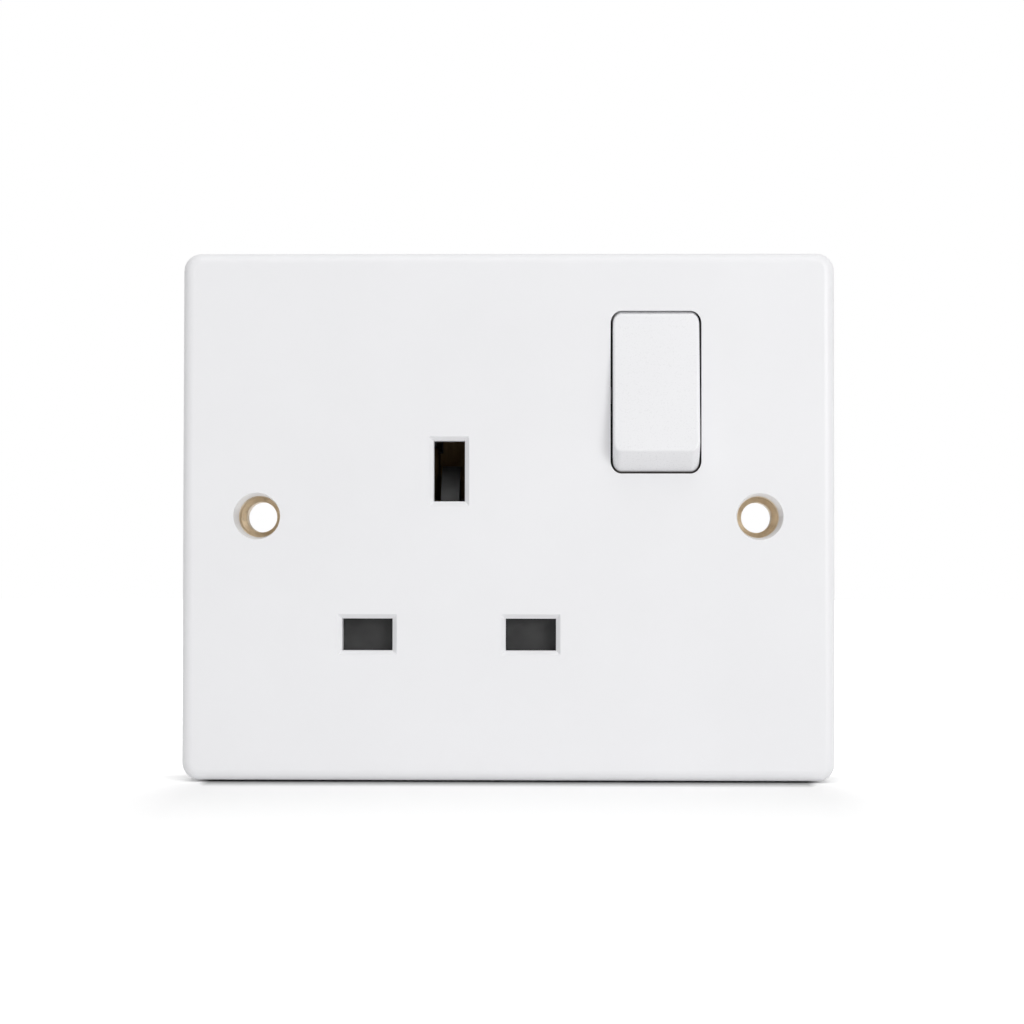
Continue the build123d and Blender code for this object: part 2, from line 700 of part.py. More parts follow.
def core_pockets():
    """Hollows that keep the moulding's walls even."""
    low = housing_bottom + rear_wall
    under_clips = line_z - clip_mouth_half - strip_wall - moving_gap - pocket_wall
    clip_edge = clip_width / 2 + seat_gap + pocket_wall
    middle_x = (neutral_x + clip_edge, line_x - clip_edge)
    right_x = (line_x + clip_edge, housing_half - rear_wall)
    right_z = (posts[3][1] + lug_half + pocket_wall, posts[2][1] - lug_half - pocket_wall)
    left_x = (-housing_half + rear_wall, neutral_x + clip_edge - pocket_wall)
    pockets = core_cells(middle_x, (low, -strap_width / 2), 2)
    pockets += core_cells(right_x, right_z, 3)
    pockets += core_cells(left_x, (low, under_clips), 1)
    return pockets


def make_rear_housing():
    limits_z = (housing_bottom, housing_top)
    housing = rounded_bar(around(0, housing_half), (housing_front, housing_back), limits_z, housing_corner_r)
    housing = chamfer(housing.faces().sort_by(Axis.Y)[-1].edges(), housing_edge)
    for pockets in (terminal_pockets(), contact_pockets(), switch_pockets(), earth_pockets()):
        housing -= pockets
    housing -= lug_recesses()
    housing -= core_pockets()
    return housing


nodes = {
    "front_plate": make_front_plate(),
    "rear_housing": make_rear_housing(),
    "rocker": make_rocker(),
    "plunger": make_plunger(),
    "plunger_spring": make_plunger_spring(),
    "seesaw_contact": make_seesaw_contact(),
    "seesaw_contact_tip": make_seesaw_contact_tip(),
    "fixed_contact": make_fixed_contact(),
    "fixed_contact_tip": make_fixed_contact_tip(),
    "shutter": make_shutter(),
    "shutter_spring": make_shutter_spring(),
    "line_contact": make_line_contact(),
    "neutral_contact": make_neutral_contact(),
    "earth_contact": make_earth_contact(),
    "earth_strap": make_earth_strap(),
    "line_terminal": make_terminal(line_terminal_x, True),
    "neutral_terminal": make_terminal(neutral_terminal_x, False),
    "earth_terminal": make_terminal(earth_terminal_x, False),
    "line_terminal_screw": make_terminal_screw(line_terminal_x),
    "neutral_terminal_screw": make_terminal_screw(neutral_terminal_x),
    "earth_terminal_screw": make_terminal_screw(earth_terminal_x),
    "left_fixing_bush": make_bush(-fixing_x),
    "right_fixing_bush": make_bush(fixing_x),
    "housing_screws": make_housing_screws(),
}

os.makedirs("parts", exist_ok=True)
for name, part in nodes.items():
    export_step(part, f"parts/{name}.step")
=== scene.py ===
import json
from math import cos, pi, radians, sin
import bmesh
import bpy
from mathutils import Matrix, Vector


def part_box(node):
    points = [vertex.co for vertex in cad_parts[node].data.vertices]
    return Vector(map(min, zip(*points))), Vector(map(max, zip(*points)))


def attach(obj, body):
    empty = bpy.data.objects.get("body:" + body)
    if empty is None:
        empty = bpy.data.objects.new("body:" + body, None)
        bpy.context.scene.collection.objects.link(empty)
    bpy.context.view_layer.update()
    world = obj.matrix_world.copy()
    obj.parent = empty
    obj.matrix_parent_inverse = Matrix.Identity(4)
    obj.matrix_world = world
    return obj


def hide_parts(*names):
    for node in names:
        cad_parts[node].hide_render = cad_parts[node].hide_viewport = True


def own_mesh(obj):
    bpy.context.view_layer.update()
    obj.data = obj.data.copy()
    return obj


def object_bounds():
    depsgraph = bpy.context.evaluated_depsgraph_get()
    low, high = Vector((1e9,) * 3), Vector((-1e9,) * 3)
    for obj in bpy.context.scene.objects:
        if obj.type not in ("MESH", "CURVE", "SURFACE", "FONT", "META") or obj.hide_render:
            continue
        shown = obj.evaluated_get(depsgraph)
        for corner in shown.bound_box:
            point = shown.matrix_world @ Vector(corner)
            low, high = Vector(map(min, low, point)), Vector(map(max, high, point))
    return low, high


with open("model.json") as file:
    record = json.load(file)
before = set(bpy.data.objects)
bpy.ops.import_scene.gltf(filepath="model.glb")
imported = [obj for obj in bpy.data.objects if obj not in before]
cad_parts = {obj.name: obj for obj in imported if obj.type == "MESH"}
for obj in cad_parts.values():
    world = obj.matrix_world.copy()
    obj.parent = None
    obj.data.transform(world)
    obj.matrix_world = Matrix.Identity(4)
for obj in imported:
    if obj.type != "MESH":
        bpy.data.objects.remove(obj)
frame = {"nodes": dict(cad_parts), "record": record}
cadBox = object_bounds()
nodes = frame["nodes"]
scene = bpy.context.scene
scene.view_settings.view_transform = "Standard"
mm = 0.001
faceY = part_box("front_plate")[0].y  # the plate's face looks towards -Y
print("frame loaded:", len(nodes), "nodes")


def middleOf(node):
    low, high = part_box(node)
    return (low + high) / 2


def jointNamed(name):
    return next(joint for joint in frame["record"]["behaviour"]["joints"] if joint["name"] == name)


# Shared shader effects

def newGroup(name, inputs, outputs):
    group = bpy.data.node_groups.new(name, "ShaderNodeTree")
    for label, value in inputs.items():
        socket = group.interface.new_socket(name=label, in_out="INPUT", socket_type="NodeSocketFloat")
        socket.default_value = value
    for label in outputs:
        group.interface.new_socket(name=label, in_out="OUTPUT", socket_type="NodeSocketFloat")
    given = group.nodes.new("NodeGroupInput").outputs
    made = group.nodes.new("NodeGroupOutput").inputs
    return group, given, made


def noiseNode(tree, vector, scale, detail):
    noise = tree.nodes.new("ShaderNodeTexNoise")
    noise.inputs["Detail"].default_value = detail
    tree.links.new(vector, noise.inputs["Vector"])
    tree.links.new(scale, noise.inputs["Scale"])
    return noise.outputs["Fac"]


def mapRange(tree, value, low, high, fromLow=0.3, fromHigh=0.7):
    node = tree.nodes.new("ShaderNodeMapRange")
    node.inputs["From Min"].default_value = fromLow
    node.inputs["From Max"].default_value = fromHigh
    node.inputs["To Min"].default_value = low
    node.inputs["To Max"].default_value = high
    tree.links.new(value, node.inputs["Value"])
    return node.outputs["Result"]


def calc(tree, operation, first, second=0.0, third=0.0):
    node = tree.nodes.new("ShaderNodeMath")
    node.operation = operation
    for socket, value in zip(node.inputs, (first, second, third)):
        if isinstance(value, (int, float)):
            socket.default_value = value
        else:
            tree.links.new(value, socket)
    return node.outputs["Value"]


def makeMouldedSkin():
    group, given, made = newGroup(
        "mouldedSkin",
        {"grain scale": 2600.0, "ripple scale": 220.0, "cloud scale": 55.0, "ripple share": 0.5},
        ["height", "cloud", "grain"],
    )
    place = group.nodes.new("ShaderNodeTexCoord").outputs["Object"]
    grain = noiseNode(group, place, given["grain scale"], 3.0)  # texture of the mould's steel
    ripple = noiseNode(group, place, given["ripple scale"], 1.0)  # slow waves of a cooled moulding
    cloud = noiseNode(group, place, given["cloud scale"], 2.0)  # uneven pigment
    waves = calc(group, "MULTIPLY", ripple, given["ripple share"])
    group.links.new(calc(group, "ADD", grain, waves), made["height"])
    group.links.new(cloud, made["cloud"])
    group.links.new(grain, made["grain"])
    return group


def makeMetalSkin():
    group, given, made = newGroup(
        "metalSkin",
        {"streak scale": 2000.0, "stain scale": 200.0, "speck scale": 1400.0,
         "along x": 1.0, "along y": 1.0, "along z": 1.0},
        ["streak", "stain", "speck"],
    )
    place = group.nodes.new("ShaderNodeTexCoord").outputs["Object"]
    along = group.nodes.new("ShaderNodeCombineXYZ")
    for axis in "XYZ":
        group.links.new(given["along " + axis.lower()], along.inputs[axis])
    stretch = group.nodes.new("ShaderNodeVectorMath")
    stretch.operation = "MULTIPLY"
    group.links.new(place, stretch.inputs[0])
    group.links.new(along.outputs["Vector"], stretch.inputs[1])
    streak = noiseNode(group, stretch.outputs["Vector"], given["streak scale"], 4.0)  # rolling marks
    stain = noiseNode(group, place, given["stain scale"], 3.0)  # tarnish
    speck = noiseNode(group, place, given["speck scale"], 2.0)  # pits and plating grain
    group.links.new(streak, made["streak"])
    group.links.new(stain, made["stain"])
    group.links.new(speck, made["speck"])
    return group


def makePaintedSeamShade():  # how deep a spot lies in the seam around the rocker, a mask for painted shade in the gap
    group, given, made = newGroup(
        "seamDust",
        {"left": 0.0, "right": 0.0, "bottom": 0.0, "top": 0.0, "shadeFrom": 0.0, "dusty": 0.0},
        ["dust"],
    )
    spot = group.nodes.new("ShaderNodeSeparateXYZ")
    group.links.new(group.nodes.new("ShaderNodeTexCoord").outputs["Object"], spot.inputs["Vector"])
    x, y, z = (spot.outputs[axis] for axis in "XYZ")
    inside = calc(group, "MULTIPLY", calc(group, "GREATER_THAN", x, given["left"]),
                  calc(group, "LESS_THAN", x, given["right"]))
    within = calc(group, "MULTIPLY", calc(group, "GREATER_THAN", z, given["bottom"]),
                  calc(group, "LESS_THAN", z, given["top"]))
    deep = group.nodes.new("ShaderNodeMapRange")
    group.links.new(y, deep.inputs["Value"])
    group.links.new(given["shadeFrom"], deep.inputs["From Min"])
    group.links.new(given["dusty"], deep.inputs["From Max"])
    boxed = calc(group, "MULTIPLY", inside, within)
    group.links.new(calc(group, "MULTIPLY", boxed, deep.outputs["Result"]), made["dust"])
    return group


mouldedSkin = makeMouldedSkin()
metalSkin = makeMetalSkin()
seamDust = makePaintedSeamShade()


# Materials

def newMaterial(name, look, metallic):
    material = bpy.data.materials.new(name)
    material.use_nodes = True
    shader = material.node_tree.nodes["Principled BSDF"]
    shader.inputs["Base Color"].default_value = (*look["colour"], 1.0)
    shader.inputs["Roughness"].default_value = look["roughness"]
    shader.inputs["Metallic"].default_value = look.get("metallic", metallic)
    shader.inputs["Specular IOR Level"].default_value = look.get("specular", 0.5)
    return material, material.node_tree, shader


def placeGroup(tree, group, values):
    node = tree.nodes.new("ShaderNodeGroup")
    node.node_tree = group
    for label, value in values.items():
        node.inputs[label].default_value = value
    return node.outputs


def mixColours(tree, factor, first, second):
    mix = tree.nodes.new("ShaderNodeMix")
    mix.data_type = "RGBA"
    for socket, colour in zip([s for s in mix.inputs if s.type == "RGBA"], (first, second)):
        if isinstance(colour, tuple):
            socket.default_value = (*colour, 1.0)
        else:
            tree.links.new(colour, socket)
    tree.links.new(factor, mix.inputs["Factor"])
    return next(s for s in mix.outputs if s.type == "RGBA")


def addGloss(tree, shader, value, middle, swing):
    gloss = mapRange(tree, value, middle - swing, middle + swing)
    tree.links.new(gloss, shader.inputs["Roughness"])


def addBump(tree, shader, height, strength, depth):
    bump = tree.nodes.new("ShaderNodeBump")
    bump.inputs["Strength"].default_value = strength
    bump.inputs["Distance"].default_value = depth
    tree.links.new(height, bump.inputs["Height"])
    tree.links.new(bump.outputs["Normal"], shader.inputs["Normal"])


def shade(colour, factor):
    return tuple(channel * factor for channel in colour)


# the near-black seam colour is painted shade for the gap around the rocker
moulding = {"glossSwing": 0.05, "bumpDepth": 0.02 * mm, "dust": (0.10, 0.085, 0.075)}
plastics = {
    "plateWhite": {
        "colour": (0.815, 0.815, 0.83), "roughness": 0.36, "mottle": 0.010, "bump": 0.06,
        "grain": 5200.0, "ripple": 160.0, "cloud": 55.0,
        "seam": {"left": 13.8, "right": 26.4, "bottom": 5.7, "top": 28.1},  # mm, the box of painted seam shade around the rocker
        "shadeFrom": 0.1, "dusty": 0.5},  # mm behind the plate's face, where the painted shade starts and where it is full
    "rockerWhite": {
        "colour": (0.815, 0.815, 0.83), "roughness": 0.30, "mottle": 0.008, "bump": 0.03,
        "grain": 5200.0, "ripple": 200.0, "cloud": 70.0,
        "seam": {"left": 13.8, "right": 26.4, "bottom": 4.0, "top": 8.0},  # painted seam shade only on its lower end
        "shadeFrom": 0.05, "dusty": 0.4},
    "shutterGrey": {
        "colour": (0.048, 0.048, 0.048), "roughness": 0.55, "mottle": 0.22, "bump": 0.35, "specular": 0.15,
        "grain": 1500.0, "ripple": 420.0, "cloud": 210.0},
    "housingBlack": {
        "colour": (0.016, 0.016, 0.017), "roughness": 0.46, "mottle": 0.15, "bump": 0.40,
        "grain": 1800.0, "ripple": 260.0, "cloud": 120.0},
    "plungerNylon": {
        "colour": (0.70, 0.68, 0.62), "roughness": 0.42, "mottle": 0.03, "bump": 0.12,
        "grain": 2600.0, "ripple": 400.0, "cloud": 200.0},
}


def mouldedPlastic(name, look):
    material, tree, shader = newMaterial(name, look, 0.0)
    skin = placeGroup(tree, mouldedSkin, {"grain scale": look["grain"], "ripple scale": look["ripple"],
                                          "cloud scale": look["cloud"]})
    darker = shade(look["colour"], 1 - look["mottle"])
    lighter = shade(look["colour"], 1 + look["mottle"])
    tint = mixColours(tree, mapRange(tree, skin["cloud"], 0.0, 1.0), darker, lighter)
    # painted shade: the seam around the rocker darkens with depth behind the face
    if "seam" in look:
        seam = {side: place * mm for side, place in look["seam"].items()}
        depth = {label: faceY + look[label] * mm for label in ("shadeFrom", "dusty")}
        seamShading = placeGroup(tree, seamDust, {**seam, **depth})
        tint = mixColours(tree, seamShading["dust"], tint, moulding["dust"])
    tree.links.new(tint, shader.inputs["Base Color"])
    addGloss(tree, shader, skin["grain"], look["roughness"], moulding["glossSwing"])
    addBump(tree, shader, skin["height"], look["bump"], moulding["bumpDepth"])
    return material


working = {"glossSwing": 0.09, "bumpDepth": 0.01 * mm, "pitShade": 0.6,
           "stainRange": (0.35, 0.65), "pitRange": (0.58, 0.75)}  # where the noise starts and ends
metals = {
    # clip brass darkened below brass's own colour: painted shade for contacts deep inside the slots
    "shadedClipBrass": {
        "colour": (0.28, 0.19, 0.10), "dark": (0.16, 0.10, 0.05), "roughness": 0.62, "bump": 0.3,
        "along": (1.0, 1.0, 0.08), "streak": 3000.0, "stain": 160.0, "speck": 1400.0, "pits": 0.5},
    "terminalBrass": {
        "colour": (0.78, 0.57, 0.27), "dark": (0.60, 0.42, 0.18), "roughness": 0.34, "bump": 0.2,
        "along": (1.0, 1.0, 0.1), "streak": 2400.0, "stain": 300.0, "speck": 1400.0, "pits": 0.3},
    "bushBrass": {
        "colour": (0.95, 0.82, 0.62), "dark": (0.62, 0.50, 0.34), "roughness": 0.46, "bump": 0.3,
        "metallic": 0.3,  # duller than the other metals
        "along": (1.0, 6.0, 1.0), "streak": 900.0, "stain": 320.0, "speck": 1200.0, "pits": 0.35},
    "contactSilver": {
        "colour": (0.78, 0.77, 0.74), "dark": (0.62, 0.60, 0.56), "roughness": 0.38, "bump": 0.15,
        "along": (1.0, 1.0, 1.0), "streak": 1500.0, "stain": 500.0, "speck": 1800.0, "pits": 0.2},
    "platedSteel": {
        "colour": (0.66, 0.66, 0.65), "dark": (0.50, 0.50, 0.48), "roughness": 0.34, "bump": 0.2,
        "along": (1.0, 1.0, 1.0), "streak": 1500.0, "stain": 300.0, "speck": 2200.0, "pits": 0.3},
    "springSteel": {
        "colour": (0.46, 0.46, 0.47), "dark": (0.36, 0.36, 0.36), "roughness": 0.3, "bump": 0.1,
        "along": (1.0, 1.0, 1.0), "streak": 2000.0, "stain": 500.0, "speck": 2200.0, "pits": 0.2},
}


def workedMetal(name, look):
    material, tree, shader = newMaterial(name, look, 1.0)
    alongX, alongY, alongZ = look["along"]
    skin = placeGroup(tree, metalSkin, {"streak scale": look["streak"], "stain scale": look["stain"],
                                        "speck scale": look["speck"], "along x": alongX,
                                        "along y": alongY, "along z": alongZ})
    tarnish = mapRange(tree, skin["stain"], 0.0, 1.0, *working["stainRange"])
    base = mixColours(tree, tarnish, look["dark"], look["colour"])
    pits = mapRange(tree, skin["speck"], 0.0, look["pits"], *working["pitRange"])
    pitted = mixColours(tree, pits, base, shade(look["dark"], working["pitShade"]))
    tree.links.new(pitted, shader.inputs["Base Color"])
    addGloss(tree, shader, skin["streak"], look["roughness"], working["glossSwing"])
    addBump(tree, shader, skin["streak"], look["bump"], working["bumpDepth"])
    return material


materials = {name: mouldedPlastic(name, look) for name, look in plastics.items()}
materials.update({name: workedMetal(name, look) for name, look in metals.items()})
print("materials made:", len(materials))

# Which finish each solid carries
finishes = {
    "plateWhite": ["front_plate"],
    "rockerWhite": ["rocker"],
    "housingBlack": ["rear_housing"],
    "shutterGrey": ["shutter"],
    "plungerNylon": ["plunger"],
    "shadedClipBrass": ["line_contact", "neutral_contact", "earth_contact", "earth_strap", "fixed_contact",
                  "seesaw_contact"],
    "terminalBrass": ["line_terminal", "neutral_terminal", "earth_terminal"],
    "bushBrass": ["left_fixing_bush", "right_fixing_bush"],
    "contactSilver": ["seesaw_contact_tip", "fixed_contact_tip"],
    "platedSteel": ["line_terminal_screw", "neutral_terminal_screw", "earth_terminal_screw",
                    "housing_screws"],
    "springSteel": ["plunger_spring", "shutter_spring"],
}
for finish, names in finishes.items():
    for name in names:
        for place in nodes[name].material_slots:
            place.material = materials[finish]
print("finishes set")


# Tools for the geometry node trees

def newTree(name, sizes):
    tree = bpy.data.node_groups.new(name, "GeometryNodeTree")
    tree.interface.new_socket(name="Points", in_out="INPUT", socket_type="NodeSocketGeometry")
    for label in sizes:
        tree.interface.new_socket(name=label, in_out="INPUT", socket_type="NodeSocketFloat")
    tree.interface.new_socket(name="Material", in_out="INPUT", socket_type="NodeSocketMaterial")
    tree.interface.new_socket(name="Piece", in_out="OUTPUT", socket_type="NodeSocketGeometry")
    return tree, tree.nodes.new("NodeGroupInput").outputs, tree.nodes.new("NodeGroupOutput").inputs


def addNode(tree, kind, links, **settings):
    node = tree.nodes.new(kind)
    for label, value in settings.items():
        setattr(node, label, value)
    for label, value in links.items():
        if isinstance(value, bpy.types.NodeSocket):
            tree.links.new(value, node.inputs[label])
        else:
            node.inputs[label].default_value = value
    return node


def combine(tree, x, y, z):
    node = tree.nodes.new("ShaderNodeCombineXYZ")
    for socket, value in zip(node.inputs, (x, y, z)):
        if isinstance(value, (int, float)):
            socket.default_value = value
        else:
            tree.links.new(value, socket)
    return node.outputs["Vector"]


def aroundAxis(tree, angle, radius, height):
    x = calc(tree, "MULTIPLY", calc(tree, "COSINE", angle), radius)
    y = calc(tree, "MULTIPLY", calc(tree, "SINE", angle), radius)
    return combine(tree, x, y, height)


def clamped(tree, value):
    return addNode(tree, "ShaderNodeClamp", {"Value": value}).outputs["Result"]


def softEdges(tree, mesh, crease):
    smooth = addNode(tree, "GeometryNodeSetShadeSmooth", {"Geometry": mesh, "Shade Smooth": True})
    bend = tree.nodes.new("GeometryNodeInputMeshEdgeAngle").outputs["Unsigned Angle"]
    isSharp = calc(tree, "GREATER_THAN", bend, crease)
    return addNode(tree, "GeometryNodeSetShadeSmooth",
                   {"Geometry": smooth.outputs["Geometry"], "Selection": isSharp, "Shade Smooth": False},
                   domain="EDGE").outputs["Geometry"]


def closeTree(tree, given, made, geometry):
    real = addNode(tree, "GeometryNodeRealizeInstances", {"Geometry": geometry}).outputs["Geometry"]
    painted = addNode(tree, "GeometryNodeSetMaterial", {"Geometry": real, "Material": given["Material"]})
    tree.links.new(painted.outputs["Geometry"], made["Piece"])


def linkMesh(name, mesh):
    piece = bpy.data.objects.new(name, mesh)
    scene.collection.objects.link(piece)
    return piece


def dropSlivers(mesh, smallest=0.001 * mm):  # the booleans leave a few faces without area
    shape = bmesh.new()
    shape.from_mesh(mesh)
    bmesh.ops.triangulate(shape, faces=shape.faces)
    bmesh.ops.dissolve_degenerate(shape, edges=shape.edges, dist=smallest)
    bmesh.ops.triangulate(shape, faces=shape.faces)
    shape.to_mesh(mesh)
    shape.free()


def growPiece(name, tree, values, points=((0, 0, 0),)):
    seed = bpy.data.meshes.new(name + "Seed")
    seed.from_pydata([tuple(point) for point in points], [], [])
    maker = linkMesh(name + "Maker", seed)
    modifier = maker.modifiers.new("nodes", "NODES")
    modifier.node_group = tree
    inputs = {item.name: item.identifier for item in tree.interface.items_tree if item.in_out == "INPUT"}
    for label, value in values.items():
        modifier[inputs[label]] = value
    depsgraph = bpy.context.evaluated_depsgraph_get()
    mesh = bpy.data.meshes.new_from_object(maker.evaluated_get(depsgraph))
    maker.modifiers.remove(modifier)
    bpy.data.objects.remove(maker)
    dropSlivers(mesh)
    mesh.name = name
    return linkMesh(name, mesh)


def standIn(piece, body, slotName, *replaced):
    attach(piece, body)
    if replaced:
        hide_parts(*replaced)


# Coil springs with closed ends
coilMesh = {"wireSides": 14, "crease": radians(40)}
shutterSpring = {"wire": 0.25 * mm, "turns": 8.0, "closedTurns": 1.0, "pointsPerTurn": 28.0}
plungerSpring = {"outer": 1.4 * mm, "wire": 0.2 * mm, "length": 5.3 * mm, "turns": 9.0, "closedTurns": 1.0,
                 "pointsPerTurn": 28.0}


def makeCoilTree():
    tree, given, made = newTree("coilSpring", [
        "Coil Radius", "Wire Radius", "Length", "Turns", "Closed Turns", "Points Per Turn"])
    wire = given["Wire Radius"]
    closed = given["Closed Turns"]
    line = addNode(tree, "GeometryNodeCurvePrimitiveLine", {}).outputs["Curve"]
    count = calc(tree, "MULTIPLY", given["Turns"], given["Points Per Turn"])
    dense = addNode(tree, "GeometryNodeResampleCurve", {"Curve": line, "Count": count}).outputs["Curve"]
    factor = tree.nodes.new("GeometryNodeSplineParameter").outputs["Factor"]
    turn = calc(tree, "MULTIPLY", factor, given["Turns"])
    low = calc(tree, "MINIMUM", turn, closed)
    lastOpen = calc(tree, "SUBTRACT", given["Turns"], closed)
    high = calc(tree, "MAXIMUM", calc(tree, "SUBTRACT", turn, lastOpen), 0.0)
    shut = calc(tree, "ADD", low, high)  # turns already wound in the closed ends
    wireWidth = calc(tree, "MULTIPLY", wire, 2.0)
    shutRise = calc(tree, "MULTIPLY", calc(tree, "MULTIPLY", closed, 2.0), wireWidth)
    openRise = calc(tree, "SUBTRACT", calc(tree, "SUBTRACT", given["Length"], wireWidth), shutRise)
    openTurns = calc(tree, "SUBTRACT", lastOpen, closed)
    pitch = calc(tree, "DIVIDE", openRise, openTurns)
    rise = calc(tree, "MULTIPLY_ADD", calc(tree, "SUBTRACT", turn, shut), pitch, wire)
    height = calc(tree, "MULTIPLY_ADD", shut, wireWidth, rise)
    place = aroundAxis(tree, calc(tree, "MULTIPLY", turn, 2 * pi), given["Coil Radius"], height)
    path = addNode(tree, "GeometryNodeSetPosition", {"Geometry": dense, "Position": place})
    ring = addNode(tree, "GeometryNodeCurvePrimitiveCircle",
                   {"Resolution": coilMesh["wireSides"], "Radius": wire})
    swept = addNode(tree, "GeometryNodeCurveToMesh",
                    {"Curve": path.outputs["Geometry"], "Profile Curve": ring.outputs["Curve"],
                     "Fill Caps": True})
    closeTree(tree, given, made, softEdges(tree, swept.outputs["Mesh"], coilMesh["crease"]))
    return tree


coilTree = makeCoilTree()


def windSpring(name, look, outer, length):
    return growPiece(name, coilTree, {
        "Coil Radius": outer - look["wire"], "Wire Radius": look["wire"], "Length": length,
        "Turns": look["turns"], "Closed Turns": look["closedTurns"],
        "Points Per Turn": look["pointsPerTurn"], "Material": materials["springSteel"]})


def makeShutterSpring():
    low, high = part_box("shutter_spring")
    length = high.z - low.z
    spring = windSpring("shutterSpring", shutterSpring, (high.x - low.x) / 2, length)
    foot = Vector(((low.x + high.x) / 2, (low.y + high.y) / 2, low.z))
    spring.data.transform(Matrix.Translation(foot))
    standIn(spring, "socket", "spring_steel", "shutter_spring")
    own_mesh(spring)


def makePlungerSpring():
    slide = jointNamed("plunger_slide")
    along = Vector(slide["axis"])  # from the plunger towards the rocker's face
    length = plungerSpring["length"]
    spring = windSpring("plungerSpring", plungerSpring, plungerSpring["outer"], length)
    foot = middleOf("plunger_spring") - along * length / 2
    spring.data.transform(Matrix.Translation(foot) @ along.to_track_quat("Z", "X").to_matrix().to_4x4())
    standIn(spring, "rocker", "spring_steel", "plunger_spring")
    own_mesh(spring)


makeShutterSpring()
makePlungerSpring()
print("springs wound")


# Screws with rolled threads
screwMesh = {"shankAround": 41, "shankRows": 150, "headAround": 49, "headRows": 33, "weld": 0.002 * mm,
             "crease": radians(38), "root": 0.4 * mm,  # how far the shank reaches into the head
             "ridgeGain": 1.5, "ridgeCut": -0.3}  # flat crests and flat valleys
terminalScrew = {"Head Squareness": 0.22, "Core Radius": 1.42 * mm, "Pitch": 0.7 * mm,
                 "Plain Length": 0.5 * mm, "Tip Length": 0.5 * mm, "Tip Share": 0.78,
                 "Drive Width": 0.9 * mm, "Drive Depth": 1.0 * mm,
                 "head": 1.9 * mm, "crest": 1.75 * mm}
housingScrew = {"Head Squareness": 0.4, "Core Radius": 1.02 * mm, "Pitch": 1.1 * mm,
                "Plain Length": 0.8 * mm, "Tip Length": 2.0 * mm, "Tip Share": 0.2,
                "Drive Width": 0.7 * mm, "Drive Depth": 1.0 * mm,
                "head": 1.7 * mm, "headRadius": 2.6 * mm, "crest": 1.45 * mm, "driveLength": 3.2 * mm,
                "clusterReach": 7.8 * mm}  # vertices nearer than this belong to one screw


def surfaceGrid(tree, around, rows):
    grid = addNode(tree, "GeometryNodeMeshGrid", {"Size X": 1.0, "Size Y": 1.0, "Vertices X": around,
                                                  "Vertices Y": rows})
    position = tree.nodes.new("GeometryNodeInputPosition").outputs["Position"]
    spot = addNode(tree, "ShaderNodeSeparateXYZ", {"Vector": position}).outputs
    across = calc(tree, "ADD", spot["X"], 0.5)
    along = calc(tree, "ADD", spot["Y"], 0.5)
    return grid.outputs["Mesh"], across, along


def wrapGrid(tree, grid, across, radius, height):
    place = aroundAxis(tree, calc(tree, "MULTIPLY", across, 2 * pi), radius, height)
    bent = addNode(tree, "GeometryNodeSetPosition", {"Geometry": grid, "Position": place})
    welded = addNode(tree, "GeometryNodeMergeByDistance",
                     {"Geometry": bent.outputs["Geometry"], "Distance": screwMesh["weld"]})
    return welded.outputs["Geometry"]


def isInside(tree, along, edge=0.0001):  # both end rows close to a point
    return calc(tree, "MULTIPLY", calc(tree, "GREATER_THAN", along, edge),
                calc(tree, "LESS_THAN", along, 1 - edge))


def signedPower(tree, value, power):
    size = calc(tree, "POWER", calc(tree, "ABSOLUTE", value), power)
    return calc(tree, "MULTIPLY", size, calc(tree, "SIGN", value))


def makeShank(tree, given):  # one surface whose radius follows the thread and thins to the tip
    grid, across, along = surfaceGrid(tree, screwMesh["shankAround"], screwMesh["shankRows"])
    length = given["Shank Length"]
    whole = calc(tree, "ADD", length, screwMesh["root"])
    height = calc(tree, "SUBTRACT", calc(tree, "MULTIPLY", along, whole), length)
    turn = calc(tree, "ADD", calc(tree, "DIVIDE", height, given["Pitch"]), across)
    phase = calc(tree, "MULTIPLY_ADD", calc(tree, "FRACT", turn), 2.0, -1.0)
    wave = calc(tree, "SUBTRACT", 1.0, calc(tree, "ABSOLUTE", phase))
    ridge = clamped(tree, calc(tree, "MULTIPLY_ADD", wave, screwMesh["ridgeGain"], screwMesh["ridgeCut"]))
    depth = calc(tree, "SUBTRACT", calc(tree, "MULTIPLY", height, -1.0), given["Plain Length"])
    runOut = clamped(tree, calc(tree, "DIVIDE", depth, given["Pitch"]))
    tall = calc(tree, "SUBTRACT", given["Crest Radius"], given["Core Radius"])
    tooth = calc(tree, "MULTIPLY", tall, calc(tree, "MULTIPLY", ridge, runOut))
    full = calc(tree, "ADD", given["Core Radius"], tooth)
    fromTip = calc(tree, "DIVIDE", calc(tree, "ADD", height, length), given["Tip Length"])
    growth = calc(tree, "SUBTRACT", 1.0, given["Tip Share"])
    taper = clamped(tree, calc(tree, "MULTIPLY_ADD", fromTip, growth, given["Tip Share"]))
    thin = calc(tree, "MULTIPLY", calc(tree, "MULTIPLY", full, taper), isInside(tree, along))
    return wrapGrid(tree, grid, across, thin, height)


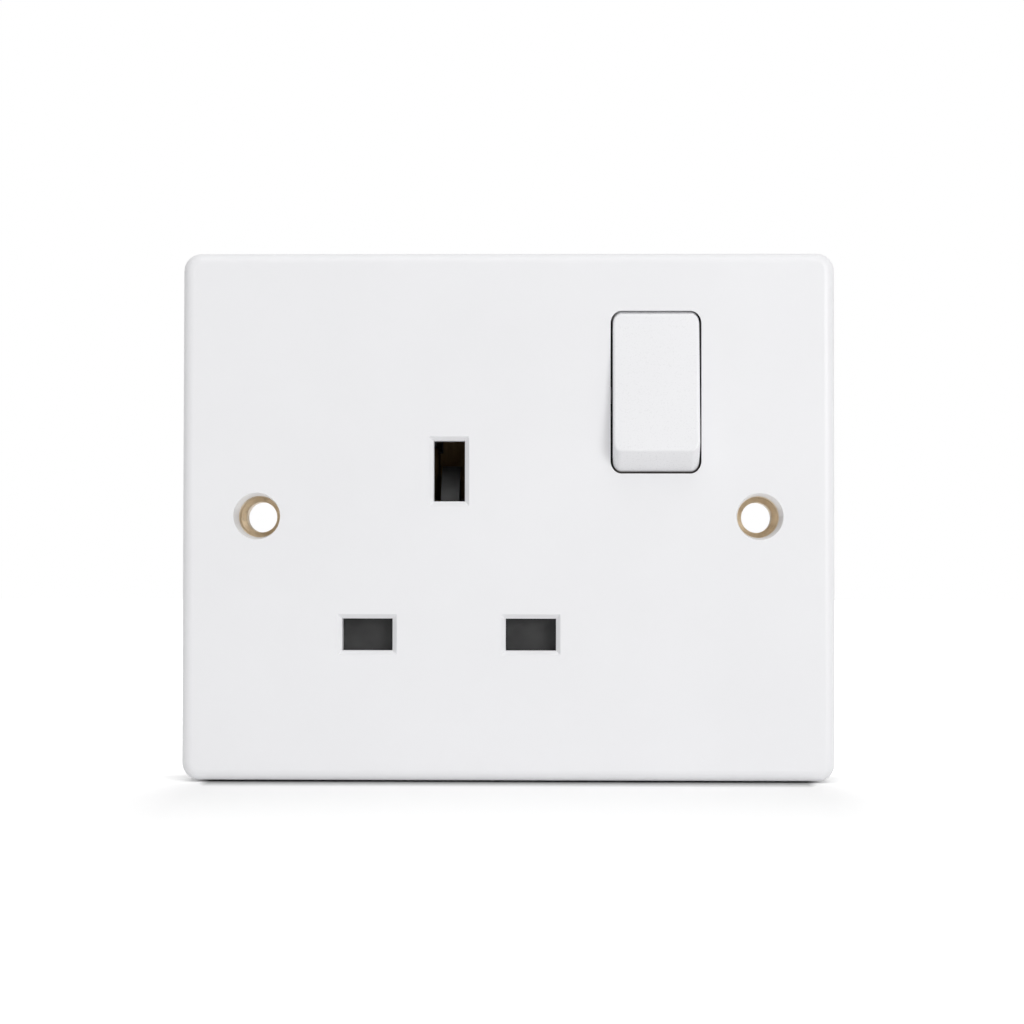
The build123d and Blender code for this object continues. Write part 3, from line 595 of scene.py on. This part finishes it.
def makeHead(tree, given):  # a turned block with round edges, cut by the drive
    grid, across, along = surfaceGrid(tree, screwMesh["headAround"], screwMesh["headRows"])
    lift = calc(tree, "MULTIPLY", along, pi)
    square = given["Head Squareness"]
    half = calc(tree, "MULTIPLY", given["Head Height"], 0.5)
    up = signedPower(tree, calc(tree, "COSINE", lift), square)
    height = calc(tree, "MULTIPLY", calc(tree, "SUBTRACT", 1.0, up), half)
    wide = calc(tree, "MULTIPLY", signedPower(tree, calc(tree, "SINE", lift), square), given["Head Radius"])
    block = wrapGrid(tree, grid, across, calc(tree, "MULTIPLY", wide, isInside(tree, along)), height)
    head = addNode(tree, "GeometryNodeMeshBoolean", {"Mesh 1": block}, solver="EXACT",
                   operation="DIFFERENCE")
    deep = calc(tree, "MULTIPLY", given["Drive Depth"], 2.0)
    top = combine(tree, 0.0, 0.0, given["Head Height"])
    for x, y in (("Drive Length", "Drive Width"), ("Drive Width", "Cross Length")):
        bar = addNode(tree, "GeometryNodeMeshCube", {"Size": combine(tree, given[x], given[y], deep)})
        cut = addNode(tree, "GeometryNodeTransform", {"Geometry": bar.outputs["Mesh"], "Translation": top})
        tree.links.new(cut.outputs["Geometry"], head.inputs["Mesh 2"])
    return head.outputs["Mesh"]


def makeScrewTree():
    tree, given, made = newTree("threadedScrew", [
        "Head Radius", "Head Height", "Head Squareness", "Crest Radius", "Core Radius", "Pitch",
        "Shank Length", "Plain Length", "Tip Length", "Tip Share", "Drive Length", "Cross Length",
        "Drive Width", "Drive Depth"])
    whole = addNode(tree, "GeometryNodeMeshBoolean", {}, solver="EXACT", operation="UNION")
    for shape in (makeHead(tree, given), makeShank(tree, given)):
        tree.links.new(shape, whole.inputs["Mesh 2"])
    screw = softEdges(tree, whole.outputs["Mesh"], screwMesh["crease"])
    placed = addNode(tree, "GeometryNodeInstanceOnPoints", {"Points": given["Points"], "Instance": screw,
                                                            "Rotation": (-pi / 2, 0.0, 0.0)})
    closeTree(tree, given, made, placed.outputs["Instances"])
    return tree


screwTree = makeScrewTree()


def screwSizes(look):  # the entries named as the tree's inputs
    return {label: value for label, value in look.items() if label[0].isupper()}


def makeTerminalScrew(which):
    node = which + "_terminal_screw"
    low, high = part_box(node)
    seat = Vector(((low.x + high.x) / 2, high.y - terminalScrew["head"], (low.z + high.z) / 2))
    values = screwSizes(terminalScrew)
    values.update({"Head Radius": (high.x - low.x) / 2, "Head Height": terminalScrew["head"],
                   "Crest Radius": terminalScrew["crest"], "Shank Length": seat.y - low.y,
                   "Drive Length": 2 * (high.x - low.x), "Cross Length": terminalScrew["Drive Width"],
                   "Material": materials["platedSteel"]})
    standIn(growPiece(which + "TerminalScrew", screwTree, values, [seat]), node, "steel", node)


def screwCorners():  # the middle of each screw, found in the group's mesh
    reach = housingScrew["clusterReach"]
    screws = []
    for vertex in nodes["housing_screws"].data.vertices:
        flat = Vector((vertex.co.x, vertex.co.z))
        near = next((screw for screw in screws if (screw["first"] - flat).length < reach), None)
        if near is None:
            screws.append({"first": flat, "low": flat.copy(), "high": flat.copy()})
            continue
        near["low"] = Vector(map(min, near["low"], flat))
        near["high"] = Vector(map(max, near["high"], flat))
    print("housing screws found:", len(screws))
    return [(screw["low"] + screw["high"]) / 2 for screw in screws]


def makeHousingScrews():
    low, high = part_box("housing_screws")
    seatY = high.y - housingScrew["head"]
    seats = [Vector((corner.x, seatY, corner.y)) for corner in screwCorners()]
    values = screwSizes(housingScrew)
    values.update({"Head Radius": housingScrew["headRadius"], "Head Height": housingScrew["head"],
                   "Crest Radius": housingScrew["crest"], "Shank Length": seatY - low.y,
                   "Drive Length": housingScrew["driveLength"], "Cross Length": housingScrew["driveLength"],
                   "Material": materials["platedSteel"]})
    standIn(growPiece("housingScrews", screwTree, values, seats), "socket", "steel", "housing_screws")


for which in ("line", "neutral", "earth"):
    makeTerminalScrew(which)
makeHousingScrews()
print("screws threaded")


# Turned brass bushes
bush = {"barrel": 3.4 * mm, "flange": 0.6 * mm, "mouth": 2.8 * mm, "bore": 2.1 * mm, "dish": 2.9 * mm,
        "edge": 0.12 * mm, "edgeSteps": 4, "rings": 7, "ringDepth": 0.016 * mm, "stepsPerRing": 6,
        "segments": 120}


def roundCorner(before, corner, after):
    start = corner + (before - corner).normalized() * bush["edge"]
    end = corner + (after - corner).normalized() * bush["edge"]
    points = []
    for i in range(bush["edgeSteps"] + 1):
        t = i / bush["edgeSteps"]
        points.append(start * (1 - t) ** 2 + corner * 2 * t * (1 - t) + end * t**2)
    return points


def toolMarks(start, end):
    count = bush["rings"] * bush["stepsPerRing"]
    normal = Vector((start.y - end.y, end.x - start.x)).normalized()
    points = []
    for i in range(1, count):
        t = i / count
        mark = bush["ringDepth"] * (1 - cos(2 * pi * bush["rings"] * t)) / 2
        points.append(start.lerp(end, t) + normal * mark)
    return points


def bushProfile(front, back, flangeRadius):
    barrel, flange, mouth, bore = bush["barrel"], bush["flange"], bush["mouth"], bush["bore"]
    seat = front + bush["dish"]
    rim = seat - (mouth - bore)  # the screw's seat slopes at 45 degrees
    corners = [(bore, seat), (bore, back), (flangeRadius, back), (flangeRadius, back - flange),
               (barrel, back - flange), (barrel, front), (mouth, front), (mouth, rim)]
    corners = [Vector(corner) for corner in corners]
    profile = []
    for i, corner in enumerate(corners):
        after = corners[(i + 1) % len(corners)]
        profile += roundCorner(corners[i - 1], corner, after)
    return profile + toolMarks(profile[-1], profile[0])


def lathe(name, profile, centre, segments):
    mesh = bmesh.new()
    rings = []
    for i in range(segments):
        angle = 2 * pi * i / segments
        x, z = cos(angle), sin(angle)
        rings.append([mesh.verts.new((centre.x + x * spot.x, spot.y, centre.z + z * spot.x))
                      for spot in profile])
    for i, ring in enumerate(rings):
        following = rings[(i + 1) % segments]
        for j in range(len(profile)):
            k = (j + 1) % len(profile)
            mesh.faces.new((ring[j], ring[k], following[k], following[j])).smooth = True
    bmesh.ops.recalc_face_normals(mesh, faces=mesh.faces)
    data = bpy.data.meshes.new(name)
    mesh.to_mesh(data)
    mesh.free()
    return linkMesh(name, data)


def makeBush(side):
    node = side + "_fixing_bush"
    low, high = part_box(node)
    outline = bushProfile(low.y, high.y, (high.x - low.x) / 2)
    turned = lathe(side + "FixingBush", outline, (low + high) / 2, bush["segments"])
    turned.data.materials.append(materials["bushBrass"])
    standIn(turned, "socket", "bush_brass", node)


for side in ("left", "right"):
    makeBush(side)
print("bushes turned")


# Raised wiring marks beside the wire ways
marks = {"height": 0.15 * mm, "letter": 3.0 * mm, "capShare": 0.7,  # a capital's share of the font's size
         "fromBack": 3.4 * mm, "sunk": 0.05 * mm, "barWidth": 0.42 * mm, "stem": 1.3 * mm,
         "bars": ((2.6 * mm, 0.45 * mm), (1.7 * mm, 1.1 * mm), (0.8 * mm, 1.75 * mm))}  # width, drop


def letterMesh(letter):
    curve = bpy.data.curves.new("mark" + letter, "FONT")
    curve.body = letter
    curve.size = marks["letter"] / marks["capShare"]
    curve.align_x = "CENTER"
    curve.align_y = "CENTER"
    curve.extrude = marks["height"] / 2
    writer = bpy.data.objects.new("mark" + letter, curve)
    scene.collection.objects.link(writer)
    depsgraph = bpy.context.evaluated_depsgraph_get()
    mesh = bpy.data.meshes.new_from_object(writer.evaluated_get(depsgraph))
    bpy.data.objects.remove(writer)
    return mesh


def earthMesh():
    symbol = bmesh.new()
    barWidth, stem = marks["barWidth"], marks["stem"]
    strokes = [(stem, barWidth, 2 * stem)]  # middle, width and height of each
    strokes += [(barWidth - drop, width, barWidth) for width, drop in marks["bars"]]
    for middle, width, height in strokes:
        shape = bmesh.ops.create_cube(symbol, size=1.0)["verts"]
        bmesh.ops.scale(symbol, vec=(width, height, marks["height"]), verts=shape)
        bmesh.ops.translate(symbol, vec=(0, middle, 0), verts=shape)
    mesh = bpy.data.meshes.new("markEarth")
    symbol.to_mesh(mesh)
    symbol.free()
    return mesh


def makeMark(which, mesh):
    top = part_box("rear_housing")[1]
    lift = marks["height"] / 2 - marks["sunk"]
    spot = Vector((middleOf(which + "_terminal").x, top.y - marks["fromBack"], top.z + lift))
    mesh.transform(Matrix.Translation(spot) @ Matrix.Rotation(pi, 4, "Z"))
    mesh.materials.clear()
    mesh.materials.append(materials["housingBlack"])
    standIn(linkMesh(which + "Mark", mesh), "socket", "black_moulding")


makeMark("line", letterMesh("L"))
makeMark("neutral", letterMesh("N"))
makeMark("earth", earthMesh())
print("marks raised")


# Camera at the photograph's place
shot = {"imageSide": 1024, "focalPixels": 2590.0, "sensor": 36.0, "distance": 351.7 * mm,
        "right": 6.32 * mm, "up": -8.50 * mm, "pitch": 1.479, "roll": -0.077, "yaw": 0.938,
        "nearest": 0.01, "farthest": 20.0}


def makeCamera():
    camera = bpy.data.objects.new("camera", bpy.data.cameras.new("camera"))
    scene.collection.objects.link(camera)
    camera.data.sensor_width = shot["sensor"]
    camera.data.lens = shot["focalPixels"] * shot["sensor"] / shot["imageSide"]
    camera.data.clip_start = shot["nearest"]
    camera.data.clip_end = shot["farthest"]
    camera.location = (shot["right"], faceY - shot["distance"], shot["up"])
    camera.rotation_euler = (pi / 2 + radians(shot["pitch"]), radians(shot["roll"]), radians(shot["yaw"]))
    scene.camera = camera


makeCamera()
print("camera placed")

# Studio: floor, world and lamps
# the floor's darker grey and its reach at the foot make a painted contact shadow
studio = {"floorSize": 6.0, "floorGap": 0.1 * mm, "floorGrey": 0.98, "worldLight": 0.41,
          "paintedShadowGrey": 0.40, "paintedShadowReach": (0.5 * mm, 7 * mm), "contactStretch": 5.0,
          "endInset": 4 * mm, "fanLength": 8 * mm,
          "nearLift": 0.065, "nearReach": (1 * mm, 8 * mm),
          "midLift": 0.14, "midReach": (15 * mm, 60 * mm),
          "farLift": 0.7, "farReach": (60 * mm, 400 * mm), "farStretch": 20.0}
lamps = {
    "key": {"place": (0.537, -0.876, 0.218), "size": 0.45, "power": 3.3},
    "fill": {"place": (-0.10, -1.20, 0.10), "size": 0.6, "power": 0.3},
    "front": {"place": (0.05, -0.45, 0.70), "size": 0.9, "power": 1.9},
    "overhead": {"place": (0.0, -0.05, 0.80), "size": 1.0, "power": 1.1},
}


def isSeenDirectly(tree):
    light = tree.nodes.new("ShaderNodeLightPath").outputs
    mirrored = calc(tree, "MAXIMUM", light["Is Glossy Ray"], light["Is Transmission Ray"])
    return calc(tree, "MAXIMUM", light["Is Camera Ray"], mirrored)


def floorDistances(tree):  # how far a spot lies from the plate's foot, its ends stretched
    spot = tree.nodes.new("ShaderNodeSeparateXYZ")
    tree.links.new(tree.nodes.new("ShaderNodeTexCoord").outputs["Object"], spot.inputs["Vector"])
    x, y = spot.outputs["X"], spot.outputs["Y"]
    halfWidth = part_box("front_plate")[1].x - studio["endInset"]
    pastEnd = calc(tree, "SUBTRACT", calc(tree, "ABSOLUTE", x), halfWidth)
    sides = calc(tree, "ADD", calc(tree, "MAXIMUM", pastEnd, 0.0), calc(tree, "MAXIMUM", y, 0.0))
    ahead = calc(tree, "MAXIMUM", calc(tree, "SUBTRACT", faceY, y), 0.0)
    fan = calc(tree, "MULTIPLY_ADD", ahead, 1 / studio["fanLength"], 1.0)
    apart = calc(tree, "DIVIDE", sides, fan)  # the shade's ends soften towards the front
    close = calc(tree, "MULTIPLY_ADD", apart, studio["contactStretch"], ahead)
    wide = calc(tree, "MULTIPLY_ADD", apart, studio["farStretch"], ahead)
    return close, wide


def floorMaterial():
    material = bpy.data.materials.new("floorWhite")
    material.use_nodes = True
    tree = material.node_tree
    tree.nodes.clear()
    out = tree.nodes.new("ShaderNodeOutputMaterial")
    paper = tree.nodes.new("ShaderNodeBsdfDiffuse")
    lift = tree.nodes.new("ShaderNodeEmission")
    close, wide = floorDistances(tree)
    seen = isSeenDirectly(tree)
    # painted contact shadow: camera and mirror rays see the floor darker at the plate's foot
    darker = studio["paintedShadowGrey"] - studio["floorGrey"]
    paintedContactShadow = mapRange(tree, close, darker, 0.0, *studio["paintedShadowReach"])
    grey = calc(tree, "MULTIPLY_ADD", seen, paintedContactShadow, studio["floorGrey"])  # diffuse light meets plain paper
    tree.links.new(grey, paper.inputs["Color"])
    near = mapRange(tree, close, 0.0, studio["nearLift"], *studio["nearReach"])
    mid = mapRange(tree, wide, 0.0, studio["midLift"], *studio["midReach"])
    far = mapRange(tree, wide, 0.0, studio["farLift"], *studio["farReach"])
    white = calc(tree, "ADD", near, calc(tree, "ADD", mid, far))
    tree.links.new(calc(tree, "MULTIPLY", seen, white), lift.inputs["Strength"])
    both = tree.nodes.new("ShaderNodeAddShader")
    tree.links.new(paper.outputs["BSDF"], both.inputs[0])
    tree.links.new(lift.outputs["Emission"], both.inputs[1])
    tree.links.new(both.outputs["Shader"], out.inputs["Surface"])
    return material


def makeFloor():
    half = studio["floorSize"] / 2
    level = cadBox[0].z - studio["floorGap"]
    mesh = bpy.data.meshes.new("floor")
    corners = [(-half, -half, level), (half, -half, level), (half, half, level), (-half, half, level)]
    mesh.from_pydata(corners, [], [(0, 1, 2, 3)])
    mesh.materials.append(floorMaterial())
    floor = linkMesh("floor", mesh)


def makeWorld():
    world = bpy.data.worlds.new("studio")
    scene.world = world
    world.use_nodes = True
    tree = world.node_tree
    ground = tree.nodes["Background"]
    ground.inputs["Color"].default_value = (1.0, 1.0, 1.0, 1.0)
    level = mapRange(tree, isSeenDirectly(tree), studio["worldLight"], 1.0, 0.0, 1.0)
    tree.links.new(level, ground.inputs["Strength"])


def makeLamp(name, look):
    lamp = bpy.data.lights.new(name, "AREA")
    lamp.shape = "DISK"
    lamp.size = look["size"]
    lamp.energy = look["power"]
    holder = bpy.data.objects.new(name, lamp)
    scene.collection.objects.link(holder)
    holder.location = look["place"]
    holder.rotation_euler = (-Vector(look["place"])).to_track_quat("-Z", "Y").to_euler()


makeFloor()
makeWorld()
for name, look in lamps.items():
    makeLamp(name, look)
print("studio made")
